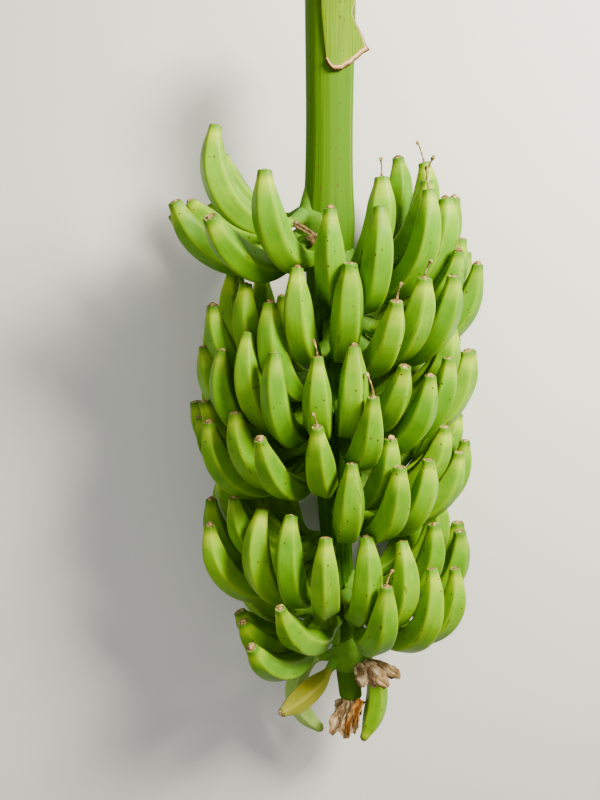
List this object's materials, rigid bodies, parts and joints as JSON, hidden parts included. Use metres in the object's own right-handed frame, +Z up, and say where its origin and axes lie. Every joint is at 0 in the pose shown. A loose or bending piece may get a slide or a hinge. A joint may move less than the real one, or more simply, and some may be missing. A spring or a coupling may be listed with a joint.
{
  "type": "banana bunch",
  "caption": "Cut bunch of green bananas lying on its back: ridged stalk with a torn sheath, spiral hands of curved fruit in double rows, dry bracts at the flower end.",
  "frame": {"origin": "middle of the underside of the bunch's box, on the ground it lies on", "axes": "+Y up the stalk towards its cut end, +X to the picture's right, +Z up"},
  "size_m": [0.3428, 0.886, 0.3173],
  "materials": {
    "fruit_green": "satin, waxy green peel",
    "fruit_young": "satin, yellowing green peel",
    "hand_green": "satin, waxy green peel and paler crown",
    "stalk_green": "satin, fibrous green stalk",
    "sheath_green": "matt green leaf sheath with a dry rim",
    "bract_dry": "matt, dry papery brown"
  },
  "bodies": {
    "root": {"bracts": "bract_dry", "fruit_01_inner_1": "fruit_green", "fruit_01_outer_1": "fruit_green", "fruit_01_outer_2": "fruit_green", "fruit_01_outer_3": "fruit_green", "fruit_01_outer_4": "fruit_green", "fruit_02_inner_1": "fruit_green", "fruit_02_outer_1": "fruit_green", "fruit_02_outer_2": "fruit_green", "fruit_02_outer_3": "fruit_green", "fruit_02_outer_4": "fruit_green", "fruit_03_outer_1": "fruit_green", "fruit_03_outer_2": "fruit_green", "fruit_03_outer_3": "fruit_green", "fruit_03_outer_4": "fruit_green", "fruit_04_outer_1": "fruit_green", "fruit_04_outer_2": "fruit_green", "fruit_04_outer_3": "fruit_green", "fruit_04_outer_4": "fruit_green", "fruit_05_inner_1": "fruit_green", "fruit_05_outer_1": "fruit_green", "fruit_05_outer_2": "fruit_green", "fruit_05_outer_3": "fruit_green", "fruit_05_outer_4": "fruit_green", "fruit_06_outer_1": "fruit_green", "fruit_06_outer_2": "fruit_green", "fruit_06_outer_3": "fruit_green", "fruit_06_outer_4": "fruit_green", "fruit_07_outer_1": "fruit_green", "fruit_07_outer_2": "fruit_green", "fruit_07_outer_3": "fruit_green", "fruit_07_outer_4": "fruit_green", "fruit_08_outer_1": "fruit_green", "fruit_08_outer_2": "fruit_green", "fruit_08_outer_3": "fruit_green", "fruit_08_outer_4": "fruit_green", "fruit_09_outer_1": "fruit_green", "fruit_09_outer_2": "fruit_green", "fruit_09_outer_3": "fruit_green", "fruit_09_outer_4": "fruit_green", "fruit_10_outer_1": "fruit_green", "fruit_10_outer_2": "fruit_green", "fruit_10_outer_3": "fruit_green", "fruit_10_outer_4": "fruit_green", "fruit_11_outer_1": "fruit_young", "fruit_11_outer_2": "fruit_young", "fruit_11_outer_3": "fruit_young", "hand_01": "hand_green", "hand_02": "hand_green", "hand_03": "hand_green", "hand_04": "hand_green", "hand_05": "hand_green", "hand_06": "hand_green", "hand_07": "hand_green", "hand_08": "hand_green", "hand_09": "hand_green", "hand_10": "hand_green", "hand_11": "hand_green", "sheath": "sheath_green", "stalk": "stalk_green"}
  },
  "joints": []
}
